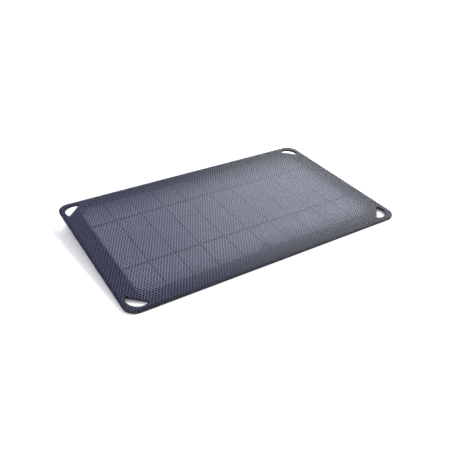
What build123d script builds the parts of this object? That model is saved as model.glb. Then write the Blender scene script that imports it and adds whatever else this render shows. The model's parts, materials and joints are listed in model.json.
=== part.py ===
from build123d import *
import math
import os

# A stiff, flat solar charger: ten cell strips in a clear laminate on a glass-fibre board,
# with a D-shaped eyelet in each corner and a USB junction box stuck under its back edge.
# X runs along the long side, Y from the front edge to the back edge, Z up, in millimetres.
# Everything is laid out on the flat panel, whose underside is at Z = 0 and centred on X and Y.
# At the end the whole object is tipped up to stand on its front edge and its junction box.

# Panel
panel_length = 267.0
panel_width = 155.5
corner_radius = 10.3

# Layers of the laminate, from the underside up
rear_cover_thickness = 0.25
board_thickness = 0.8
rear_encapsulant_thickness = 0.2
front_encapsulant_thickness = 0.4
film_thickness = 0.35

board_low = rear_cover_thickness
board_high = board_low + board_thickness
cell_low = board_high + rear_encapsulant_thickness
encapsulant_high = cell_low + front_encapsulant_thickness
panel_thickness = encapsulant_high + film_thickness

# Corner eyelets: part of a circle, cut off by a straight side that faces the panel's middle
eyelet_radius = 9.6
eyelet_centre_inset = 14.0
eyelet_flat_from_centre = 1.7
eyelet_end_radius = 1.2

# Cells: two 125 mm wafers, each cut into five strips
wafer_side = 125.0
wafer_chamfer = 8.65
strips_per_wafer = 5
strip_count = 2 * strips_per_wafer
strip_width = 22.36
strip_gap = 1.2
cell_thickness = 0.2
cell_shift = 0.9
strip_pitch = strip_width + strip_gap
string_length = strip_count * strip_pitch - strip_gap
cell_high = cell_low + cell_thickness

# Flat copper ribbons between the cells, at the ends of the string and behind the board
ribbon_width = 2.0
ribbon_thickness = 0.1
ribbon_web = 0.3
ribbon_end_inset = 1.0
ribbon_rows = (-30.3, 33.6)
collector_width = 4.0
collector_gap = 1.2
collector_overhang = 1.0
return_width = 3.0
return_thickness = 0.15
collector_x = string_length / 2 + collector_gap + collector_width / 2

# Junction box, measured down from the panel's underside
box_length = 64.0
box_depth = 26.0
box_height = 9.5
box_to_back_edge = 4.5
box_corner_radius = 4.0
box_edge_radius = 1.0
pad_thickness = 0.5
pad_inset = 1.0
base_thickness = 1.2
wall = 2.2
lid_floor = 1.1
lid_clearance = 0.1
seal_width = 0.9
seal_height = 0.7

box_back = panel_width / 2 - box_to_back_edge
box_front = box_back - box_depth
box_centre = (box_front + box_back) / 2
base_low = -pad_thickness - base_thickness
lid_inside = -box_height + lid_floor

# Screws
column_radius = 2.7
column_top = -3.7
boss_radius = 2.3
boss_low = -3.6
screw_radius = 1.0
screw_clearance = 0.05
screw_head_radius = 1.9
screw_head_height = 1.2
screw_head_recess = 0.1
screw_slot = 0.5
screw_tip_room = 0.3
lid_screw_tip = -1.4
board_screw_tip = -1.9
post_radius = 2.0
lid_screw_points = [
    (x * (box_length / 2 - box_corner_radius), box_centre + y * (box_depth / 2 - box_corner_radius))
    for x in (-1, 1)
    for y in (-1, 1)
]
board_screw_points = [(-26.5, box_centre), (26.5, box_centre)]

# Regulator board, with its parts on the side that faces the lid
circuit_thickness = 1.0
circuit_top = -3.4
circuit_low = circuit_top - circuit_thickness
circuit_clearance = 0.5
circuit_notch = 4.4
lead_x = 9.0
lead_y = box_centre - 6.0
lead_radius = 0.6
lead_hole_radius = 1.5

# Moulded parts on the regulator board: place from the box's centre, width, depth, height, rounding
components = {
    "regulator_chip": (12.0, -6.0, 5.0, 4.0, 1.1, 0.2),
    "input_capacitor": (20.0, -6.25, 7.3, 4.3, 2.9, 0.3),
    "output_capacitor": (-16.0, -6.25, 7.3, 4.3, 2.9, 0.3),
    "blocking_diode": (-16.0, 0.0, 4.3, 2.6, 2.2, 0.2),
    "status_lamp": (-18.0, 8.8, 3.2, 1.6, 1.4, 0.2),
}
inductor_x = 16.0
inductor_shift = 1.75
inductor_size = 7.0
inductor_height = 3.0
inductor_rounding = 1.2
winding_radius = 2.4
winding_recess = 0.3

# USB-A socket, let into the regulator board
port_z = -5.3
usb_width = 13.2
usb_height = 5.75
usb_length = 14.0
usb_wall = 0.3
usb_corner_radius = 0.5
usb_block_depth = 3.7
usb_mouth = box_back - 0.2
socket_clearance = 0.2
wing_length = 1.6
wing_depth = 2.0
wing_places = (1.5, 8.5)
tongue_width = 11.1
tongue_thickness = 1.84
tongue_offset = 0.02
tongue_recess = 2.2
contact_xs = (-3.5, -1.0, 1.0, 3.5)
contact_width = 1.0
contact_thickness = 0.2
contact_setback = 0.4

# Window in front of the status lamp
window_x = -18.0
window_z = -5.1
window_radius = 1.5
window_proud = 0.2

# Rubber port cover, which swings on a living hinge at its right-hand end
cover_thickness = 1.4
cover_height = 6.9
cover_left = -9.2
hinge_x = 9.9
cover_air = 0.05
cover_plug_width = 12.0
cover_plug_height = 4.6
cover_plug_depth = 1.6
cover_plug_radius = 0.6
cover_corner_radius = 1.5
cover_tab_length = 1.6
cover_tab_thickness = 0.9
cover_tab_height = 4.0
rib_xs = (-7.6, -6.0, -4.4)
rib_width = 0.7
rib_height = 4.2
rib_rise = 0.3
hinge_y = box_back + cover_air + cover_thickness / 2
tether_gap = 0.3
tether_thickness = 0.8
tether_height = 4.4
tether_end = 17.5
tether_corner_radius = 1.2
anchor_centre = 14.5
anchor_width = 2.6
anchor_height = 2.4
anchor_head_margin = 0.5
anchor_head_depth = 0.8


def block(x, y, z):
    """A box between a pair of limits along each axis."""
    middle = [(low + high) / 2 for low, high in (x, y, z)]
    size = [high - low for low, high in (x, y, z)]
    return Pos(*middle) * Box(*size)


def rod(x, y, low, high, radius):
    """An upright cylinder between two heights."""
    return Pos(x, y, (low + high) / 2) * Cylinder(radius, high - low)


def cross_rod(x, z, low, high, radius):
    """A cylinder along Y between two places."""
    return Pos(x, (low + high) / 2, z) * Rot(90, 0, 0) * Cylinder(radius, high - low)


def prism(outline, low, high):
    """A flat outline made solid between two heights."""
    return extrude(Pos(0, 0, low) * outline, high - low)


def joined(shapes):
    """Several touching or overlapping solids made one."""
    shapes = list(shapes)
    whole = shapes[0]
    for shape in shapes[1:]:
        whole = whole + shape
    return whole


def eyelet():
    """The eyelet's outline in the back right-hand corner."""
    centre_x = panel_length / 2 - eyelet_centre_inset
    centre_y = panel_width / 2 - eyelet_centre_inset
    offset = eyelet_radius - eyelet_flat_from_centre
    beyond_flat = Pos(-offset, 0) * Rectangle(2 * eyelet_radius, 4 * eyelet_radius)
    outline = Circle(eyelet_radius) - beyond_flat
    outline = fillet(outline.vertices(), eyelet_end_radius)
    return Pos(centre_x, centre_y) * Rot(0, 0, 45) * outline


def panel_outline():
    """The panel's outline: rounded corners, with an eyelet in each."""
    right_back = eyelet()
    left_back = mirror(right_back, about=Plane.YZ)
    outline = RectangleRounded(panel_length, panel_width, corner_radius)
    for hole in (right_back, left_back):
        outline = outline - hole - mirror(hole, about=Plane.XZ)
    return outline


def cell_left(index):
    """The left-hand edge of a strip."""
    return -string_length / 2 + index * strip_pitch


def cell_strip(index):
    """One strip of a wafer. The first and last strips keep the wafer's cut corners."""
    outline = Pos(cell_left(index) + strip_width / 2, cell_shift) * Rectangle(strip_width, wafer_side)
    if index % strips_per_wafer == 0:
        outline = chamfer(outline.vertices().sort_by(Axis.X)[:2], wafer_chamfer)
    if index % strips_per_wafer == strips_per_wafer - 1:
        outline = chamfer(outline.vertices().sort_by(Axis.X)[-2:], wafer_chamfer)
    return prism(outline, cell_low, cell_high)


def ribbon(row, start, step, end):
    """A ribbon that lies over the cells from start to step and under them from step to end."""
    y = (row - ribbon_width / 2, row + ribbon_width / 2)
    half = ribbon_web / 2
    over = block((start, step + half), y, (cell_high, cell_high + ribbon_thickness))
    web = block((step - half, step + half), y, (cell_low - ribbon_thickness, cell_high + ribbon_thickness))
    under = block((step - half, end), y, (cell_low - ribbon_thickness, cell_low))
    return over + web + under


def interconnect_ribbons():
    """Each ribbon joins one strip's face to the back of the next strip."""
    ribbons = []
    for index in range(strip_count - 1):
        start = cell_left(index) + ribbon_end_inset
        step = cell_left(index) + strip_width + strip_gap / 2
        end = cell_left(index + 1) + strip_width - ribbon_end_inset
        ribbons += [ribbon(row, start, step, end) for row in ribbon_rows]
    return ribbons


def collector_strip(x):
    """The cross strip that joins both rows of ribbons at one end of the string."""
    reach = ribbon_width / 2 + collector_overhang
    y = (ribbon_rows[0] - reach, ribbon_rows[1] + reach)
    across = (x - collector_width / 2, x + collector_width / 2)
    return block(across, y, (cell_low - ribbon_thickness, cell_low))


def positive_collector():
    """Joins the back of the first strip."""
    end = cell_left(0) + strip_width - ribbon_end_inset
    strip = collector_strip(-collector_x)
    for row in ribbon_rows:
        y = (row - ribbon_width / 2, row + ribbon_width / 2)
        strip = strip + block((-collector_x, end), y, (cell_low - ribbon_thickness, cell_low))
    return strip


def negative_collector():
    """Joins the face of the last strip."""
    start = cell_left(strip_count - 1) + ribbon_end_inset
    step = string_length / 2 + collector_gap / 2
    ribbons = [ribbon(row, start, step, collector_x) for row in ribbon_rows]
    return joined([collector_strip(collector_x)] + ribbons)


def return_ribbon(side):
    """Runs behind the board from a collector to the junction box. side is -1 or 1."""
    half = return_width / 2
    low, high = board_low, board_low + return_thickness
    x_end, x_start = sorted((side * lead_x - side * half, side * (collector_x + half)))
    x = side * collector_x
    along_y = block((x - half, x + half), (-half, lead_y + half), (low, high))
    along_x = block((x_end, x_start), (lead_y - half, lead_y + half), (low, high))
    up = block(
        (side * collector_x - half, side * collector_x + half),
        (-half, half),
        (low, cell_low - ribbon_thickness),
    )
    return along_y + along_x + up


def lead_holes(low, high):
    """Clearance holes for the two leads."""
    return [rod(side * lead_x, lead_y, low, high, lead_hole_radius) for side in (-1, 1)]


def box_outline(inset):
    """The junction box's outline, drawn in by some distance."""
    length = box_length - 2 * inset
    depth = box_depth - 2 * inset
    return Pos(0, box_centre) * RectangleRounded(length, depth, box_corner_radius - inset)


def box_base():
    """The plate that is stuck to the panel, with bosses for the lid's screws and posts for the board."""
    bosses = [rod(x, y, boss_low, base_low, boss_radius) for x, y in lid_screw_points]
    posts = [rod(x, y, circuit_top, base_low, post_radius) for x, y in board_screw_points]
    plate = joined([prism(box_outline(0), base_low, -pad_thickness)] + bosses + posts)
    for x, y in lid_screw_points:
        plate = plate - rod(x, y, boss_low, lid_screw_tip + screw_tip_room, screw_radius + screw_clearance)
    for x, y in board_screw_points:
        top = board_screw_tip + screw_tip_room
        plate = plate - rod(x, y, circuit_top, top, screw_radius + screw_clearance)
    for hole in lead_holes(base_low, -pad_thickness):
        plate = plate - hole
    return plate


def lid_seal():
    """A rubber ring in a groove along the lid's rim."""
    middle = wall / 2
    ring = box_outline(middle - seal_width / 2) - box_outline(middle + seal_width / 2)
    return prism(ring, base_low - seal_height, base_low)


def anchor_neck():
    """The part of the tether's stud that fills its hole in the lid's wall."""
    return block(
        (anchor_centre - anchor_width / 2, anchor_centre + anchor_width / 2),
        (box_back - wall, box_back),
        (port_z - anchor_height / 2, port_z + anchor_height / 2),
    )


def anchor_head():
    """The wider end of the stud, inside the wall."""
    half_width = anchor_width / 2 + anchor_head_margin
    half_height = anchor_height / 2 + anchor_head_margin
    inside = box_back - wall
    return block(
        (anchor_centre - half_width, anchor_centre + half_width),
        (inside - anchor_head_depth, inside),
        (port_z - half_height, port_z + half_height),
    )


def box_lid():
    """A shallow tub with screw columns, a socket opening, a window hole and the tether's hole."""
    tub = prism(box_outline(0), -box_height, base_low)
    tub = fillet(tub.faces().sort_by(Axis.Z)[0].edges(), box_edge_radius)
    tub = tub - prism(box_outline(wall), lid_inside, base_low)
    column_room = prism(box_outline(0), lid_inside, base_low)
    for x, y in lid_screw_points:
        tub = tub + (rod(x, y, lid_inside, column_top, column_radius) & column_room)
    for x, y in lid_screw_points:
        tub = tub - rod(x, y, -box_height, column_top, screw_radius + screw_clearance)
        tub = tub - rod(x, y, -box_height, -box_height + screw_head_height, screw_head_radius + lid_clearance)
        tub = tub - rod(x, y, column_top, base_low, boss_radius + lid_clearance)
    tub = tub - lid_seal()
    half_width = usb_width / 2 + lid_clearance
    half_height = usb_height / 2 + lid_clearance
    inside = box_back - wall
    tub = tub - block(
        (-half_width, half_width),
        (inside, box_back),
        (port_z - half_height, port_z + half_height),
    )
    tub = tub - cross_rod(window_x, window_z, inside, box_back, window_radius)
    return tub - anchor_neck()


def screw(x, y, head_low, head_high, tip):
    """A cross-head screw that points up."""
    head = rod(x, y, head_low, head_high, screw_head_radius)
    along = (-screw_head_radius, screw_head_radius)
    across = (-screw_slot / 2, screw_slot / 2)
    depth = (head_low, head_low + screw_slot)
    for slot in (block(along, across, depth), block(across, along, depth)):
        head = head - Pos(x, y) * slot
    return head + rod(x, y, head_high, tip, screw_radius)


def lid_screws():
    """Four screws, sunk in the lid's outer face."""
    low = -box_height + screw_head_recess
    high = -box_height + screw_head_height
    return [screw(x, y, low, high, lid_screw_tip) for x, y in lid_screw_points]


def board_screws():
    """Two screws that hold the regulator board to the base's posts."""
    low = circuit_low - screw_head_height
    return [screw(x, y, low, circuit_low, board_screw_tip) for x, y in board_screw_points]


def regulator_board():
    """The regulator's circuit board, cut away round the socket and the screw columns."""
    half = box_length / 2 - wall - circuit_clearance
    front = box_front + wall + circuit_clearance
    back = box_back - wall - 2 * circuit_clearance
    board = block((-half, half), (front, back), (circuit_low, circuit_top))
    for x in (-half, half - circuit_notch):
        for y in (front, back - circuit_notch + circuit_clearance):
            board = board - block((x, x + circuit_notch), (y, y + circuit_notch), (circuit_low, circuit_top))
    opening = usb_width / 2 + socket_clearance
    opening_front = usb_mouth - usb_length - socket_clearance
    board = board - block((-opening, opening), (opening_front, back), (circuit_low, circuit_top))
    for x, y in board_screw_points:
        board = board - rod(x, y, circuit_low, circuit_top, screw_radius + lid_clearance)
    return board


def usb_shell():
    """The socket's folded steel shell, closed at the back, with wings soldered to the board."""
    half_width = usb_width / 2
    half_height = usb_height / 2
    back = usb_mouth - usb_length
    shell = block((-half_width, half_width), (back, usb_mouth), (port_z - half_height, port_z + half_height))
    shell = fillet(shell.edges().filter_by(Axis.Y), usb_corner_radius)
    shell = shell - block(
        (-half_width + usb_wall, half_width - usb_wall),
        (back + usb_wall, usb_mouth),
        (port_z - half_height + usb_wall, port_z + half_height - usb_wall),
    )
    for side in (-1, 1):
        for place in wing_places:
            x = sorted((side * (half_width - usb_wall / 2), side * (half_width + wing_length)))
            y = (back + place, back + place + wing_depth)
            shell = shell + block(x, y, (circuit_low - usb_wall, circuit_low))
    return shell


def usb_insulator():
    """The plastic block at the back of the socket, with the tongue that carries the contacts."""
    back = usb_mouth - usb_length + usb_wall
    half_width = usb_width / 2 - usb_wall
    half_height = usb_height / 2 - usb_wall
    front = back + usb_block_depth
    body = block((-half_width, half_width), (back, front), (port_z - half_height, port_z + half_height))
    low = port_z + tongue_offset
    tongue = block(
        (-tongue_width / 2, tongue_width / 2),
        (front, usb_mouth - tongue_recess),
        (low, low + tongue_thickness),
    )
    return body + tongue


def usb_contacts():
    """Four flat springs on the tongue's lower face."""
    y = (usb_mouth - usb_length + usb_wall + usb_block_depth, usb_mouth - tongue_recess - contact_setback)
    z = (port_z + tongue_offset - contact_thickness, port_z + tongue_offset)
    return [block((x - contact_width / 2, x + contact_width / 2), y, z) for x in contact_xs]


def component(x, shift, width, depth, height, rounding):
    """A moulded component that hangs from the regulator board."""
    y = box_centre + shift
    across = (x - width / 2, x + width / 2)
    body = block(across, (y - depth / 2, y + depth / 2), (circuit_low - height, circuit_low))
    return fillet(body.edges().filter_by(Axis.Z), rounding)


def power_inductor():
    """A square ferrite block with a round recess over its winding."""
    body = component(
        inductor_x, inductor_shift, inductor_size, inductor_size, inductor_height, inductor_rounding
    )
    low = circuit_low - inductor_height
    return body - rod(inductor_x, box_centre + inductor_shift, low, low + winding_recess, winding_radius)


def port_cover():
    """The moving part of the rubber cover: a ribbed plate with a plug for the socket and a finger tab."""
    low = box_back + cover_air
    high = low + cover_thickness
    z = (port_z - cover_height / 2, port_z + cover_height / 2)
    plate = block((cover_left, hinge_x), (low, high), z)
    plate = fillet(plate.edges().filter_by(Axis.Y).sort_by(Axis.X)[:2], cover_corner_radius)
    hinge = rod(hinge_x, hinge_y, z[0], z[1], cover_thickness / 2)
    plug = block(
        (-cover_plug_width / 2, cover_plug_width / 2),
        (low - cover_plug_depth, low),
        (port_z - cover_plug_height / 2, port_z + cover_plug_height / 2),
    )
    plug = fillet(plug.edges().filter_by(Axis.Y), cover_plug_radius)
    tab = block(
        (cover_left - cover_tab_length, cover_left),
        (high - cover_tab_thickness, high),
        (port_z - cover_tab_height / 2, port_z + cover_tab_height / 2),
    )
    cover = plate + hinge + plug + tab
    for x in rib_xs:
        cover = cover + block(
            (x - rib_width / 2, x + rib_width / 2),
            (high, high + rib_rise),
            (port_z - rib_height / 2, port_z + rib_height / 2),
        )
    return cover


def port_cover_tether():
    """The fixed part of the rubber cover: a strap on the lid's wall and the stud that holds it."""
    start = hinge_x + cover_thickness / 2 + tether_gap
    z = (port_z - tether_height / 2, port_z + tether_height / 2)
    strap = block((start, tether_end), (box_back, box_back + tether_thickness), z)
    strap = fillet(strap.edges().filter_by(Axis.Y).sort_by(Axis.X)[-2:], tether_corner_radius)
    return strap + anchor_neck() + anchor_head()


def rest_angle():
    """How far the panel tips up when it stands on its front edge and the lid's rounded front edge."""
    along = box_front + panel_width / 2 + box_edge_radius
    down = box_height - box_edge_radius
    return math.degrees(math.atan2(down, along) + math.asin(box_edge_radius / math.hypot(along, down)))


def laminate():
    """The panel's layers, cells and ribbons, by name."""
    outline = panel_outline()
    cells = [cell_strip(index) for index in range(strip_count)]
    ribbons = interconnect_ribbons()
    collectors = [positive_collector(), negative_collector()]
    returns = [return_ribbon(-1), return_ribbon(1)]
    rear_cover = prism(outline, 0, board_low)
    for hole in lead_holes(0, board_low):
        rear_cover = rear_cover - hole
    return {
        "rear_cover_sheet": rear_cover,
        "backing_board": prism(outline, board_low, board_high) - returns,
        "rear_encapsulant": prism(outline, board_high, cell_low) - ribbons - collectors - returns,
        **{f"cell_{index + 1:02d}": cell for index, cell in enumerate(cells)},
        "interconnect_ribbons": Compound(children=ribbons),
        "positive_collector": collectors[0],
        "negative_collector": collectors[1],
        "positive_return_ribbon": returns[0],
        "negative_return_ribbon": returns[1],
        "front_encapsulant": prism(outline, cell_low, encapsulant_high) - cells - ribbons - collectors,
        "front_film": prism(outline, encapsulant_high, panel_thickness),
    }


def junction_box():
    """The junction box, its contents and the port cover, by name."""
    pad = prism(box_outline(pad_inset), -pad_thickness, 0)
    for hole in lead_holes(-pad_thickness, 0):
        pad = pad - hole
    lead_length = (circuit_top, board_low)
    window = cross_rod(window_x, window_z, box_back - wall, box_back + window_proud, window_radius)
    return {
        "adhesive_pad": pad,
        "box_base": box_base(),
        "box_lid": box_lid(),
        "lid_seal": lid_seal(),
        "lid_screws": Compound(children=lid_screws()),
        "regulator_board": regulator_board(),
        "board_screws": Compound(children=board_screws()),
        "usb_shell": usb_shell(),
        "usb_insulator": usb_insulator(),
        "usb_contacts": Compound(children=usb_contacts()),
        "power_inductor": power_inductor(),
        **{name: component(*measures) for name, measures in components.items()},
        "lamp_window": window,
        "positive_lead": rod(-lead_x, lead_y, *lead_length, lead_radius),
        "negative_lead": rod(lead_x, lead_y, *lead_length, lead_radius),
        "port_cover_tether": port_cover_tether(),
        "port_cover": port_cover(),
    }


angle = rest_angle()
tip_back = panel_width * math.cos(math.radians(angle))
tip_front = -panel_thickness * math.sin(math.radians(angle))
stand = Pos(0, -(tip_back + tip_front) / 2, 0) * Rot(angle, 0, 0) * Pos(0, panel_width / 2, 0)

os.makedirs("parts", exist_ok=True)
for name, shape in {**laminate(), **junction_box()}.items():
    export_step(stand * shape, f"parts/{name}.step")

print(f"stands at {angle:.3f} degrees")
hinge = stand * Pos(hinge_x, hinge_y, port_z)
print(f"port cover hinge at {hinge.position}")
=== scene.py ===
import bpy
import json
import math
from mathutils import Matrix, Vector

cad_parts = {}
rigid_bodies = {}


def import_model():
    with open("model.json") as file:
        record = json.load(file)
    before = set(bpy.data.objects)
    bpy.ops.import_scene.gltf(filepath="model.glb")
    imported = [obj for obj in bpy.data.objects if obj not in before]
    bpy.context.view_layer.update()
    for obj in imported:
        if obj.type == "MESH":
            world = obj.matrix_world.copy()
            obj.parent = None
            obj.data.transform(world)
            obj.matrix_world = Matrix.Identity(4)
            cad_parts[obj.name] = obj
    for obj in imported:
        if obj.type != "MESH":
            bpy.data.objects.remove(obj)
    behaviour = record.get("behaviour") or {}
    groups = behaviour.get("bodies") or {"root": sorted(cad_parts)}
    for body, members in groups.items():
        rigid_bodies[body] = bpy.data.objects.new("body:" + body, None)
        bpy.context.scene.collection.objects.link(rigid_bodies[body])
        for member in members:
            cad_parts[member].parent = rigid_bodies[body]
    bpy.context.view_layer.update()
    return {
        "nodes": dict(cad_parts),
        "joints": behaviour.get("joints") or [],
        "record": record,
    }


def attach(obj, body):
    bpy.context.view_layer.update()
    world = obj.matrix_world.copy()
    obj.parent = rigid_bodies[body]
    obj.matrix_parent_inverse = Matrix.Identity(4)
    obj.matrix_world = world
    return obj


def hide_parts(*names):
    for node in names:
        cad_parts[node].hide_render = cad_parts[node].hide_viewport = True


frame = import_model()
nodes = frame["nodes"]
print("frame loaded,", len(nodes), "nodes")

# The panel leans on its junction box. Pieces are modelled level and then tipped by the same angle.
hingeAxis = Vector(frame["joints"][0]["axis"])
tipAngle = math.atan2(hingeAxis.y, -hingeAxis.z)
tipUp = Matrix.Rotation(tipAngle, 4, "X")
tipDown = tipUp.inverted()
flatLimit = 0.5  # a level face's normal has a Z past this, a side's hasn't


def selectOnly(piece):
    if bpy.context.mode != "OBJECT":
        bpy.ops.object.mode_set(mode="OBJECT")
    bpy.ops.object.select_all(action="DESELECT")
    piece.select_set(True)
    bpy.context.view_layer.objects.active = piece


def editAll(piece):
    # edit mode with everything selected
    selectOnly(piece)
    bpy.ops.object.mode_set(mode="EDIT")
    bpy.ops.mesh.select_all(action="SELECT")


def selectPlaces(piece, isWanted):
    # edit mode with only the vertices that are in the wanted places
    selectOnly(piece)
    bpy.ops.object.mode_set(mode="EDIT")
    bpy.ops.mesh.select_all(action="DESELECT")
    bpy.ops.mesh.select_mode(type="VERT")
    bpy.ops.object.mode_set(mode="OBJECT")
    for vertex in piece.data.vertices:
        vertex.select = isWanted(vertex.co)
    bpy.ops.object.mode_set(mode="EDIT")


def closeUp(piece, distance=0.000002):
    # doubles merged and normals out
    editAll(piece)
    bpy.ops.mesh.remove_doubles(threshold=distance)
    bpy.ops.mesh.normals_make_consistent(inside=False)
    bpy.ops.object.mode_set(mode="OBJECT")


def applyPlace(piece):
    selectOnly(piece)
    bpy.ops.object.transform_apply(location=True, rotation=True, scale=True)


def moveMesh(piece, matrix):
    piece.matrix_world = matrix
    applyPlace(piece)


def applyModifier(piece, modifier):
    selectOnly(piece)
    bpy.ops.object.modifier_apply(modifier=modifier.name)


def repeat(piece, count, step):
    row = piece.modifiers.new("row", "ARRAY")
    row.use_relative_offset = False
    row.use_constant_offset = True
    row.constant_offset_displace = step
    row.count = count
    applyModifier(piece, row)


def levelSpan(name):
    # lowest and highest corners of a CAD node in the level frame
    points = [tipDown @ vertex.co for vertex in nodes[name].data.vertices]
    low = Vector([min(point[axis] for point in points) for axis in range(3)])
    high = Vector([max(point[axis] for point in points) for axis in range(3)])
    return low, high


def levelCopy(name, newName):
    # a closed copy of a CAD node, tipped down level
    piece = bpy.data.objects.new(newName, nodes[name].data.copy())
    bpy.context.scene.collection.objects.link(piece)
    moveMesh(piece, tipDown)
    closeUp(piece)
    return piece


def setFinish(piece, *materials):
    piece.data.materials.clear()
    for material in materials:
        piece.data.materials.append(material)


def newFinish(name, color, roughness, metallic=0.0, ior=1.5, alpha=1.0):
    material = bpy.data.materials.new(name)
    material.use_nodes = True
    shader = material.node_tree.nodes["Principled BSDF"]
    shader.inputs["Base Color"].default_value = (*color, 1)
    shader.inputs["Roughness"].default_value = roughness
    shader.inputs["Metallic"].default_value = metallic
    shader.inputs["IOR"].default_value = ior
    shader.inputs["Alpha"].default_value = alpha
    return material, shader


def addNode(tree, kind, **values):
    node = tree.nodes.new(kind)
    for name, value in values.items():
        if name in node.inputs:
            node.inputs[name].default_value = value
        else:
            setattr(node, name, value)
    return node


def levelCoordinates(tree, scale=(1, 1, 1)):
    # Object coordinates turned back to the level frame
    place = addNode(tree, "ShaderNodeTexCoord")
    level = addNode(tree, "ShaderNodeMapping", Rotation=(-tipAngle, 0, 0), Scale=scale)
    tree.links.new(place.outputs["Object"], level.inputs["Vector"])
    return level.outputs["Vector"]


def noiseAt(tree, vector, size, detail=3.0):
    noise = addNode(tree, "ShaderNodeTexNoise", Scale=1 / size, Detail=detail)
    tree.links.new(vector, noise.inputs["Vector"])
    return noise.outputs["Fac"]


def remap(tree, value, fromLow, fromHigh, toLow, toHigh):
    node = addNode(tree, "ShaderNodeMapRange")
    limits = {"From Min": fromLow, "From Max": fromHigh, "To Min": toLow, "To Max": toHigh}
    for name, limit in limits.items():
        node.inputs[name].default_value = limit
    tree.links.new(value, node.inputs["Value"])
    return node.outputs["Result"]


def softStep(tree, value, start, full):
    # 0 at start, 1 at full, with an eased run between them
    step = remap(tree, value, start, full, 0, 1)
    step.node.interpolation_type = "SMOOTHSTEP"
    return step


def mathNode(tree, operation, *values):
    node = addNode(tree, "ShaderNodeMath", operation=operation)
    for socket, value in zip(node.inputs, values):
        if isinstance(value, (int, float)):
            socket.default_value = value
        else:
            tree.links.new(value, socket)
    return node.outputs["Value"]


def mixNumbers(tree, share, low, high):
    span = mathNode(tree, "SUBTRACT", high, low)
    return mathNode(tree, "MULTIPLY_ADD", share, span, low)


def mixColors(tree, share, low, high):
    node = addNode(tree, "ShaderNodeMix", data_type="RGBA")
    tree.links.new(share, node.inputs["Factor"])
    for socket, color in zip([s for s in node.inputs if s.type == "RGBA"], (low, high)):
        if isinstance(color, tuple):
            socket.default_value = (*color, 1)
        else:
            tree.links.new(color, socket)
    return [s for s in node.outputs if s.type == "RGBA"][0]


def bumpFrom(tree, shader, height, depth):
    bump = addNode(tree, "ShaderNodeBump", Distance=depth, Strength=1.0)
    tree.links.new(height, bump.inputs["Height"])
    tree.links.new(bump.outputs["Normal"], shader.inputs["Normal"])


# Embossed front film: a honeycomb of shallow pits, cut to the panel's outline
filmSettings = {
    "pitPitch": 0.00258,  # between neighbours along the long side
    "wallRun": 0.0007,  # from a pit's rim in to its floor
    "pitDepth": 0.00029,
    "rimDrop": 0.000002,  # the rims lie just below the plain film's face
    "blankDepth": 0.001,
    "weld": 0.00001,  # corners this close are one
    "smoothAngle": 50,
}


def embossedFilm():
    film = filmSettings
    low, high = levelSpan("front_film")
    side = film["pitPitch"] / math.sqrt(3)
    columns = math.ceil((high.x - low.x) / film["pitPitch"]) + 2
    rowPairs = math.ceil((high.y - low.y) / (3 * side)) + 2
    start = (low.x - film["pitPitch"], low.y - 3 * side, high.z - film["rimDrop"])
    bpy.ops.object.select_all(action="DESELECT")
    bpy.ops.mesh.primitive_circle_add(vertices=6, radius=side, fill_type="NGON", location=start)
    piece = bpy.context.object
    piece.name = "embossed_film"
    editAll(piece)
    bpy.ops.mesh.inset(thickness=film["wallRun"], depth=-film["pitDepth"])
    bpy.ops.object.mode_set(mode="OBJECT")
    repeat(piece, 2, (film["pitPitch"] / 2, 1.5 * side, 0))
    repeat(piece, columns, (film["pitPitch"], 0, 0))
    repeat(piece, rowPairs, (0, 3 * side, 0))
    applyPlace(piece)
    editAll(piece)
    bpy.ops.mesh.remove_doubles(threshold=film["weld"])
    bpy.ops.mesh.select_all(action="SELECT")
    bpy.ops.mesh.extrude_region_move(TRANSFORM_OT_translate={"value": (0, 0, -film["blankDepth"])})
    bpy.ops.mesh.select_all(action="SELECT")
    bpy.ops.mesh.normals_make_consistent(inside=False)
    bpy.ops.object.mode_set(mode="OBJECT")
    outline = levelCopy("front_film", "film_outline")
    cut = piece.modifiers.new("outline", "BOOLEAN")
    cut.operation = "INTERSECT"
    cut.solver = "MANIFOLD"
    cut.object = outline
    applyModifier(piece, cut)
    bpy.data.objects.remove(outline)
    setFinish(piece, filmFinish(low, high), edgeFinish("film_edge"), clearFinish("film_underside"))
    for face in piece.data.polygons:
        face.material_index = 0 if face.normal.z > flatLimit else 2 if face.normal.z < -flatLimit else 1
    moveMesh(piece, tipUp)
    selectOnly(piece)
    bpy.ops.object.shade_smooth_by_angle(angle=math.radians(film["smoothAngle"]))
    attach(piece, "panel")
    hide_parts("front_film")
    print("embossed film,", len(piece.data.polygons), "faces")


filmLook = {
    "color": (0.1, 0.11, 0.16),
    # colour and opacity of a pit's floor, then of a rim; the pit floor's dark colour is painted shade
    "zones": {
        "leftBorder": (((0.002, 0.002, 0.004), 0.75), ((0.080, 0.091, 0.164), 0.60)),
        "rightBorderHighlight": (((0.004, 0.005, 0.009), 0.75), ((0.056, 0.065, 0.090), 0.80)),
        "leftMiddle": (((0.002, 0.003, 0.006), 0.62), ((0.300, 0.322, 0.455), 0.28)),
        "rightMiddleHighlight": (((0.066, 0.074, 0.099), 0.64), ((0.298, 0.322, 0.402), 0.49)),
    },
    "edgeColor": (0.012, 0.014, 0.026),  # where the film rolls over at the panel's sides
    "edgeRun": 0.0035,
    "rightHighlightRun": (-0.14, 0.08),  # where the left's look turns into the right's painted highlight
    # from each side of the panel to where its middle starts and is full; the long runs at the front, right
    # and back paint a highlight's fall-off towards those edges
    "middleAndHighlightInsets": {"X": ((0.0145, 0.0185), (-0.002, 0.036)), "Y": ((0.002, 0.036), (0.000, 0.054))},
    "rimAndPitShadeHeights": (0.20, 0.80),  # shares of a pit's depth where the rim's look starts and is full, over the pit floor's painted shade
    "gloss": 0.12,
    "roughness": 0.36,
    "ior": 1.45,
    "grain": 0.0006,
    "grainDepth": 0.00002,
}


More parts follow.
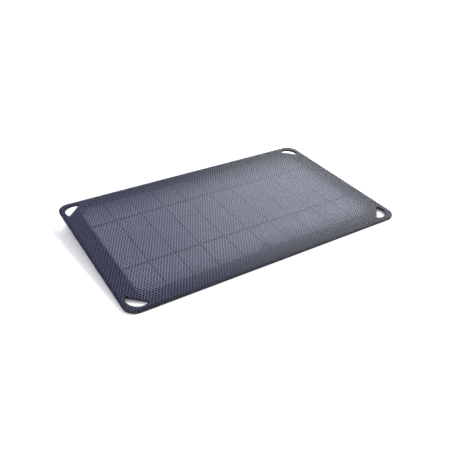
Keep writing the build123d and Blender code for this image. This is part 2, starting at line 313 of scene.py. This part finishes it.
def filmFinish(low, high):
    # dark pit floors are painted shade in the pits under lighter rims, and the look grows brighter towards
    # the panel's middle and right as a painted highlight
    look = filmLook
    material, shader = newFinish("film_embossed", look["color"], look["roughness"], ior=look["ior"])
    shader.inputs["Specular IOR Level"].default_value = look["gloss"]
    tree = material.node_tree
    level = levelCoordinates(tree)
    split = addNode(tree, "ShaderNodeSeparateXYZ")
    tree.links.new(level, split.inputs["Vector"])
    # middle: 1 inside the panel's middle, easing to 0 at its sides; its long runs at the front, right and
    # back paint a highlight's fall-off
    middle = inner = 1.0
    for axis, near, far in (("X", low.x, high.x), ("Y", low.y, high.y)):
        (nearStart, nearFull), (farStart, farFull) = look["middleAndHighlightInsets"][axis]
        for start, full in ((near + nearStart, near + nearFull), (far - farStart, far - farFull)):
            middle = mathNode(tree, "MULTIPLY", softStep(tree, split.outputs[axis], start, full), middle)
        for start, full in ((near, near + look["edgeRun"]), (far, far - look["edgeRun"])):
            inner = mathNode(tree, "MULTIPLY", softStep(tree, split.outputs[axis], start, full), inner)
    # the right part's brighter look is a painted highlight standing in for the soft box's reflection
    right = softStep(tree, split.outputs["X"], *look["rightHighlightRun"])
    depth = filmSettings["pitDepth"]
    start, full = (high.z - depth + share * depth for share in look["rimAndPitShadeHeights"])
    # pit floors take a dark colour as painted shade, the rims a lighter one
    rimOverPitShade = softStep(tree, split.outputs["Z"], start, full)
    colors, alphas = [], []
    for part in range(2):
        zones = {name: zone[part] for name, zone in look["zones"].items()}
        for ends, mix, place in ((colors, mixColors, 0), (alphas, mixNumbers, 1)):
            border = mix(tree, right, zones["leftBorder"][place], zones["rightBorderHighlight"][place])
            inside = mix(tree, right, zones["leftMiddle"][place], zones["rightMiddleHighlight"][place])
            ends.append(mix(tree, middle, border, inside))
    color = mixColors(tree, inner, look["edgeColor"], mixColors(tree, rimOverPitShade, *colors))
    tree.links.new(color, shader.inputs["Base Color"])
    tree.links.new(mixNumbers(tree, rimOverPitShade, *alphas), shader.inputs["Alpha"])
    bumpFrom(tree, shader, noiseAt(tree, level, look["grain"]), look["grainDepth"])
    return material


# Clear plastic inside the laminate and at its cut edges
clearLook = {
    "color": (0.5, 0.52, 0.58),
    "edgeColor": (0.018, 0.020, 0.028),
    "roughness": 0.25,
    "ior": 1.48,
    "gloss": 0.1,  # little is mirrored where one clear layer meets the next
    "alpha": 0.004,
    "edgeAlpha": 0.5,
}


def clearFinish(name):
    look = clearLook
    material, shader = newFinish(name, look["color"], look["roughness"], ior=look["ior"], alpha=look["alpha"])
    shader.inputs["Specular IOR Level"].default_value = look["gloss"]
    return material


def edgeFinish(name):
    look = clearLook
    return newFinish(name, look["edgeColor"], look["roughness"], ior=look["ior"], alpha=look["edgeAlpha"])[0]


# Clear filling between the board and the film, with the cells inside it
fillingSettings = {
    "gap": 0.00001,  # to the board and to the film
}


def clearFilling():
    filling = fillingSettings
    low = levelSpan("rear_encapsulant")[0].z + filling["gap"]
    high = levelSpan("front_encapsulant")[1].z - filling["gap"]
    piece = levelCopy("front_film", "clear_filling")
    filmLow, filmHigh = levelSpan("front_film")
    middle = (filmLow.z + filmHigh.z) / 2
    selectPlaces(piece, lambda place: place.z > middle)
    bpy.ops.transform.translate(value=(0, 0, high - filmHigh.z))
    selectPlaces(piece, lambda place: abs(place.z - filmLow.z) < filling["gap"] / 2)
    bpy.ops.transform.translate(value=(0, 0, low - filmLow.z))
    bpy.ops.object.mode_set(mode="OBJECT")
    setFinish(piece, clearFinish("filling_face"), edgeFinish("filling_edge"))
    for polygon in piece.data.polygons:
        polygon.material_index = 0 if abs(polygon.normal.z) > flatLimit else 1
    moveMesh(piece, tipUp)
    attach(piece, "panel")
    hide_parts("front_encapsulant", "rear_encapsulant")
    print("clear filling")


# Silver fingers printed on the cells
fingerSettings = {
    "pitch": 0.00129,
    "width": 0.00008,
    "height": 0.00002,
    "sunk": 0.00001,
    "endInset": 0.0012,
    "sideInset": 0.0003,
    "chamfer": 0.00865,
    "stripsPerWafer": 5,
    "uncut": 1.0,  # on a side without cut corners the wafer's side counts as this far off
    "topShare": 0.6,  # of the width at the foot
    "color": (0.36, 0.38, 0.43),
    "roughness": 0.45,
    "metallic": 0.3,
}


def fingerLength(x, left, right, fullLength):
    # fingers near a wafer's cut corners are shorter
    finger = fingerSettings
    toSide = min(x - left, right - x)
    return fullLength - 2 * max(0, finger["chamfer"] - toSide)


def silverFingers():
    finger = fingerSettings
    cells = sorted(name for name in nodes if name.startswith("cell_"))
    fingers = []
    for index, cell in enumerate(cells):
        low, high = levelSpan(cell)
        place = index % finger["stripsPerWafer"]
        waferLeft = low.x if place == 0 else low.x - finger["uncut"]
        waferRight = high.x if place == finger["stripsPerWafer"] - 1 else high.x + finger["uncut"]
        width = high.x - low.x - 2 * finger["sideInset"]
        count = int(width / finger["pitch"]) + 1
        first = (low.x + high.x - (count - 1) * finger["pitch"]) / 2
        for number in range(count):
            x = first + number * finger["pitch"]
            length = fingerLength(x, waferLeft, waferRight, high.y - low.y - 2 * finger["endInset"])
            fingers.append(((x, (low.y + high.y) / 2, high.z - finger["sunk"]), length))
    piece = None
    for place, length in fingers:
        bpy.ops.object.select_all(action="DESELECT")
        if piece is None:
            bpy.ops.mesh.primitive_cube_add(size=1)
            piece = bpy.context.object
            piece.name = "silver_fingers"
            selectPlaces(piece, lambda corner: corner.z > 0)
            bpy.ops.transform.resize(value=(finger["topShare"], 1, 1))
            bpy.ops.object.mode_set(mode="OBJECT")
            single = piece.data.copy()
            bar = piece
        else:
            bar = bpy.data.objects.new("finger", single.copy())
            bpy.context.scene.collection.objects.link(bar)
        height = finger["height"] + finger["sunk"]
        bar.location = (place[0], place[1], place[2] + height / 2)
        bar.scale = (finger["width"], length, height)
        bar.select_set(True)
    bpy.ops.object.select_all(action="DESELECT")
    for bar in bpy.data.objects:
        if bar.name.startswith("finger"):
            bar.select_set(True)
    piece.select_set(True)
    bpy.context.view_layer.objects.active = piece
    bpy.ops.object.join()
    applyPlace(piece)
    moveMesh(piece, tipUp)
    silver = newFinish("finger_silver", finger["color"], finger["roughness"], metallic=finger["metallic"])[0]
    setFinish(piece, silver)
    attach(piece, "panel")
    print("silver fingers,", len(fingers))


# Rubber web of the port cover's living hinge
webSettings = {
    "height": 0.0036,
    "thickness": 0.0006,
    "waist": 0.6,
    "overlap": 0.00008,
    "bevel": 0.00008,
    "cuts": 3,
    "smoothAngle": 40,
}


def hingeWeb():
    web = webSettings
    tetherBack = levelSpan("port_cover_tether")[1].y
    tether = [tipDown @ vertex.co for vertex in nodes["port_cover_tether"].data.vertices]
    pin = tipDown @ Vector(frame["joints"][0]["pos_m"])
    left = levelSpan("port_cover")[1].x - web["overlap"]
    right = min(place.x for place in tether if place.y > tetherBack - web["bevel"]) + web["overlap"]
    middle = (left + right) / 2
    bpy.ops.object.select_all(action="DESELECT")
    bpy.ops.mesh.primitive_cube_add(size=1, location=(middle, pin.y, pin.z))
    piece = bpy.context.object
    piece.name = "hinge_web"
    piece.scale = (right - left, web["thickness"], web["height"])
    applyPlace(piece)
    editAll(piece)
    bpy.ops.mesh.subdivide(number_cuts=web["cuts"])
    selectPlaces(piece, lambda place: abs(place.x - middle) < web["overlap"] / 2)
    bpy.ops.transform.resize(value=(1, web["waist"], 1))
    bpy.ops.object.mode_set(mode="OBJECT")
    edge = piece.modifiers.new("edge", "BEVEL")
    edge.width = web["bevel"]
    edge.segments = 2
    applyModifier(piece, edge)
    moveMesh(piece, tipUp)
    setFinish(piece, bpy.data.materials["cover_rubber_finish"])
    selectOnly(piece)
    bpy.ops.object.shade_smooth_by_angle(angle=math.radians(web["smoothAngle"]))
    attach(piece, "panel")
    print("hinge web")


# Finishes of the carried-over nodes. Grain sizes and depths are in metres.
patchSpan = (0.35, 0.65)  # noise values where one colour ends and the other is full

siliconLook = {
    "color": (0.086, 0.093, 0.134),
    "shade": (0.074, 0.081, 0.119),
    "gloss": 0.15,  # little is mirrored where one clear layer meets the next
    "patch": 0.03,
    "roughness": 0.32,
    "ior": 1.6,
    "grain": 0.0012,
    "grainDepth": 0.000004,
}


def siliconFinish():
    look = siliconLook
    material, shader = newFinish("cell_silicon", look["color"], look["roughness"], ior=look["ior"])
    shader.inputs["Specular IOR Level"].default_value = look["gloss"]
    tree = material.node_tree
    level = levelCoordinates(tree)
    patch = remap(tree, noiseAt(tree, level, look["patch"]), *patchSpan, 0, 1)
    tree.links.new(mixColors(tree, patch, look["color"], look["shade"]), shader.inputs["Base Color"])
    bumpFrom(tree, shader, noiseAt(tree, level, look["grain"]), look["grainDepth"])
    return material


grainLooks = {
    "dark_ribbon": {
        "colors": ((0.006, 0.007, 0.011), (0.010, 0.011, 0.016)), "roughness": (0.5, 0.65),
        "metallic": 0.0, "gloss": 0.1, "patch": 0.004, "grain": 0.0004, "depth": 0.000006,
    },
    "tinned_copper": {
        "colors": ((0.55, 0.55, 0.56), (0.66, 0.66, 0.66)), "roughness": (0.25, 0.4),
        "metallic": 1.0, "patch": 0.003, "grain": 0.0003, "depth": 0.000006,
    },
    "foam_tape": {
        "colors": ((0.018, 0.018, 0.018), (0.030, 0.030, 0.030)), "roughness": (0.85, 0.95),
        "metallic": 0.0, "patch": 0.002, "grain": 0.0004, "depth": 0.00006,
    },
    "box_plastic": {
        "colors": ((0.020, 0.020, 0.022), (0.027, 0.027, 0.030)), "roughness": (0.48, 0.62),
        "metallic": 0.0, "patch": 0.006, "grain": 0.0003, "depth": 0.00003,
    },
    "seal_rubber": {
        "colors": ((0.020, 0.020, 0.020), (0.030, 0.030, 0.030)), "roughness": (0.7, 0.8),
        "metallic": 0.0, "patch": 0.003, "grain": 0.0004, "depth": 0.00001,
    },
    "screw_steel": {
        "colors": ((0.06, 0.06, 0.066), (0.11, 0.11, 0.12)), "roughness": (0.28, 0.42),
        "metallic": 1.0, "patch": 0.001, "grain": 0.0002, "depth": 0.000008,
    },
    "insulator_plastic": {
        "colors": ((0.022, 0.022, 0.024), (0.032, 0.032, 0.034)), "roughness": (0.4, 0.5),
        "metallic": 0.0, "patch": 0.002, "grain": 0.0002, "depth": 0.000005,
    },
    "contact_metal": {
        "colors": ((0.80, 0.62, 0.28), (0.90, 0.74, 0.40)), "roughness": (0.18, 0.28),
        "metallic": 1.0, "patch": 0.001, "grain": 0.0002, "depth": 0.000003,
    },
    "ferrite": {
        "colors": ((0.055, 0.055, 0.058), (0.085, 0.085, 0.085)), "roughness": (0.6, 0.75),
        "metallic": 0.2, "patch": 0.001, "grain": 0.0002, "depth": 0.00002,
    },
    "component_plastic": {
        "colors": ((0.016, 0.016, 0.017), (0.026, 0.026, 0.026)), "roughness": (0.55, 0.65),
        "metallic": 0.0, "patch": 0.001, "grain": 0.00015, "depth": 0.00001,
    },
    "capacitor_plastic": {
        "colors": ((0.62, 0.36, 0.06), (0.72, 0.44, 0.09)), "roughness": (0.35, 0.45),
        "metallic": 0.0, "patch": 0.002, "grain": 0.0002, "depth": 0.000006,
    },
    "lamp_body": {
        "colors": ((0.78, 0.77, 0.70), (0.84, 0.83, 0.77)), "roughness": (0.2, 0.3),
        "metallic": 0.0, "patch": 0.001, "grain": 0.0002, "depth": 0.000003,
    },
    "cover_rubber": {
        "colors": ((0.016, 0.016, 0.018), (0.026, 0.026, 0.029)), "roughness": (0.62, 0.75),
        "metallic": 0.0, "patch": 0.004, "grain": 0.0003, "depth": 0.000015,
    },
    "rear_sheet": {
        "colors": ((0.020, 0.021, 0.024), (0.030, 0.031, 0.036)), "roughness": (0.45, 0.6),
        "metallic": 0.0, "patch": 0.03, "grain": 0.0009, "depth": 0.00004,
    },
}


def grainFinish(slot, look):
    # two close colours in soft patches, over a fine moulded or rolled grain
    material, shader = newFinish(slot + "_finish", look["colors"][0], look["roughness"][0], look["metallic"])
    shader.inputs["Specular IOR Level"].default_value = look.get("gloss", 0.5)
    tree = material.node_tree
    level = levelCoordinates(tree)
    patch = remap(tree, noiseAt(tree, level, look["patch"]), *patchSpan, 0, 1)
    tree.links.new(mixColors(tree, patch, *look["colors"]), shader.inputs["Base Color"])
    tree.links.new(remap(tree, patch, 0, 1, *look["roughness"]), shader.inputs["Roughness"])
    bumpFrom(tree, shader, noiseAt(tree, level, look["grain"]), look["depth"])
    return material


def facing(tree):
    # 1 on faces along the panel, 0 on its cut edges
    geometry = addNode(tree, "ShaderNodeNewGeometry")
    across = addNode(tree, "ShaderNodeVectorMath", operation="DOT_PRODUCT")
    across.inputs[1].default_value = tipUp @ Vector((0, 0, 1))
    tree.links.new(geometry.outputs["Normal"], across.inputs[0])
    return mathNode(tree, "ABSOLUTE", across.outputs["Value"])


boardLook = {
    "color": (0.011, 0.013, 0.026),
    "weave": (0.015, 0.018, 0.034),
    "edge": (0.018, 0.018, 0.022),  # bare glass and resin where it is cut
    "roughness": 0.38,
    "gloss": 0.1,
    "yarn": 0.0009,
    "depth": 0.00001,
}


def boardFinish():
    # glass cloth shows faintly through the board's dark coating
    look = boardLook
    material, shader = newFinish("board_coating", look["color"], look["roughness"])
    shader.inputs["Specular IOR Level"].default_value = look["gloss"]
    tree = material.node_tree
    level = levelCoordinates(tree)
    scale = math.pi / look["yarn"] / 10  # the texture has a band every pi / 10 at a scale of 1
    waves = []
    for direction in ("X", "Y"):
        wave = addNode(tree, "ShaderNodeTexWave", bands_direction=direction, Scale=scale)
        tree.links.new(level, wave.inputs["Vector"])
        waves.append(wave.outputs["Fac"])
    cloth = mathNode(tree, "MULTIPLY", *waves)
    face = mixColors(tree, cloth, look["color"], look["weave"])
    tree.links.new(mixColors(tree, facing(tree), look["edge"], face), shader.inputs["Base Color"])
    bumpFrom(tree, shader, cloth, look["depth"])
    return material


circuitLook = {
    "mask": (0.010, 0.085, 0.035),
    "track": (0.020, 0.150, 0.060),
    "roughness": 0.3,
    "cell": 0.0022,
    "trackSpan": (0.36, 0.42),  # distances in a cell where a track starts and is full
}


def circuitFinish():
    # tracks show as lighter lines under the green coating
    look = circuitLook
    material, shader = newFinish("circuit_coating", look["mask"], look["roughness"])
    tree = material.node_tree
    level = levelCoordinates(tree)
    tracks = addNode(tree, "ShaderNodeTexVoronoi", distance="CHEBYCHEV", feature="F1", Scale=1 / look["cell"])
    tree.links.new(level, tracks.inputs["Vector"])
    line = remap(tree, tracks.outputs["Distance"], *look["trackSpan"], 0, 1)
    tree.links.new(mixColors(tree, line, look["mask"], look["track"]), shader.inputs["Base Color"])
    return material


brushedLook = {
    "color": (0.62, 0.62, 0.63),
    "roughness": (0.22, 0.42),
    "stroke": (60, 1200, 1200),
    "strokeSpan": (0.3, 0.7),
}


def brushedFinish():
    # drawn steel, with the strokes along the socket
    look = brushedLook
    material, shader = newFinish("socket_steel_finish", look["color"], look["roughness"][0], metallic=1.0)
    tree = material.node_tree
    level = levelCoordinates(tree, look["stroke"])
    stroke = noiseAt(tree, level, 1.0)
    tree.links.new(remap(tree, stroke, *look["strokeSpan"], *look["roughness"]), shader.inputs["Roughness"])
    return material


windowLook = {
    "color": (0.8, 0.85, 0.88),
    "roughness": 0.08,
    "ior": 1.49,
    "alpha": 0.35,
}


def windowFinish():
    return newFinish("clear_window_finish", **windowLook)[0]


def finishNodes():
    finishes = {slot: grainFinish(slot, look) for slot, look in grainLooks.items()}
    finishes["silicon"] = siliconFinish()
    finishes["glass_fibre_board"] = boardFinish()
    finishes["circuit_board"] = circuitFinish()
    finishes["socket_steel"] = brushedFinish()
    finishes["clear_window"] = windowFinish()
    for subpart in frame["record"]["subparts"]:
        if subpart["material_slot"] in finishes:
            setFinish(nodes[subpart["node"]], finishes[subpart["material_slot"]])
    print("finishes on", len(nodes), "nodes")


# Studio
studioSettings = {
    "floorColor": (0.92, 0.92, 0.93),
    "floorRoughness": 0.9,
    "floorSize": 12.0,
    "floorDrop": 0.00005,
    "worldColor": (0.955, 0.945, 1.0),
    "worldStrength": 0.84,
    "keyAzimuth": 85,  # from +Y towards +X
    "keyElevation": 45,
    "keyStrength": 2.05,
    "keyAngle": 20,
    "keyDistance": 2,
    "boxAzimuth": 56,
    "boxElevation": 32,
    "boxDistance": 1.3,
    "boxSize": (0.9, 0.7),
    "boxPower": 9.5,
    "fillAzimuth": 272,
    "fillElevation": 14,
    "fillDistance": 0.9,
    "fillSize": (0.5, 0.2),
    "fillPower": 4.2,
}


def towards(azimuth, elevation):
    around = math.radians(azimuth)
    above = math.radians(elevation)
    return Vector((
        math.sin(around) * math.cos(above),
        math.cos(around) * math.cos(above),
        math.sin(above),
    ))


def addLight(name, kind, direction, distance):
    light = bpy.data.objects.new(name, bpy.data.lights.new(name, kind))
    bpy.context.scene.collection.objects.link(light)
    light.location = direction * distance
    light.rotation_euler = direction.to_track_quat("Z", "Y").to_euler()
    return light.data


def lightStudio():
    studio = studioSettings
    bpy.ops.object.select_all(action="DESELECT")
    bpy.ops.mesh.primitive_plane_add(size=studio["floorSize"], location=(0, 0, -studio["floorDrop"]))
    floor = bpy.context.object
    floor.name = "studio_floor"
    setFinish(floor, newFinish("floor_paper", studio["floorColor"], studio["floorRoughness"])[0])
    world = bpy.data.worlds.new("studio_light")
    bpy.context.scene.world = world
    world.use_nodes = True
    sky = world.node_tree.nodes["Background"]
    sky.inputs["Color"].default_value = (*studio["worldColor"], 1)
    sky.inputs["Strength"].default_value = studio["worldStrength"]
    towardsKey = towards(studio["keyAzimuth"], studio["keyElevation"])
    key = addLight("key_light", "SUN", towardsKey, studio["keyDistance"])
    key.energy = studio["keyStrength"]
    key.angle = math.radians(studio["keyAngle"])
    for name in ("box", "fill"):
        direction = towards(studio[name + "Azimuth"], studio[name + "Elevation"])
        light = addLight(name + "_light", "AREA", direction, studio[name + "Distance"])
        light.shape = "RECTANGLE"
        light.size, light.size_y = studio[name + "Size"]
        light.energy = studio[name + "Power"]
    bpy.context.scene.view_settings.view_transform = "Standard"
    print("studio")


# Camera. Its turn is from +Y towards +X when negative, its dip is below level, both in degrees.
cameraSettings = {
    "place": (-0.2331, -0.3464, 0.2469),
    "turn": -31.20,
    "dip": 31.34,
    "lens": 42.57,
    "sensor": 36,
    "sideShift": 0.042,
}


def placeCamera():
    settings = cameraSettings
    lens = bpy.data.cameras.new("camera")
    lens.lens = settings["lens"]
    lens.sensor_width = settings["sensor"]
    lens.shift_x = settings["sideShift"]
    view = bpy.data.objects.new("camera", lens)
    bpy.context.scene.collection.objects.link(view)
    view.location = settings["place"]
    view.rotation_euler = (math.radians(90 - settings["dip"]), 0, math.radians(settings["turn"]))
    bpy.context.scene.camera = view
    print("camera")


finishNodes()
embossedFilm()
clearFilling()
silverFingers()
hingeWeb()
lightStudio()
placeCamera()
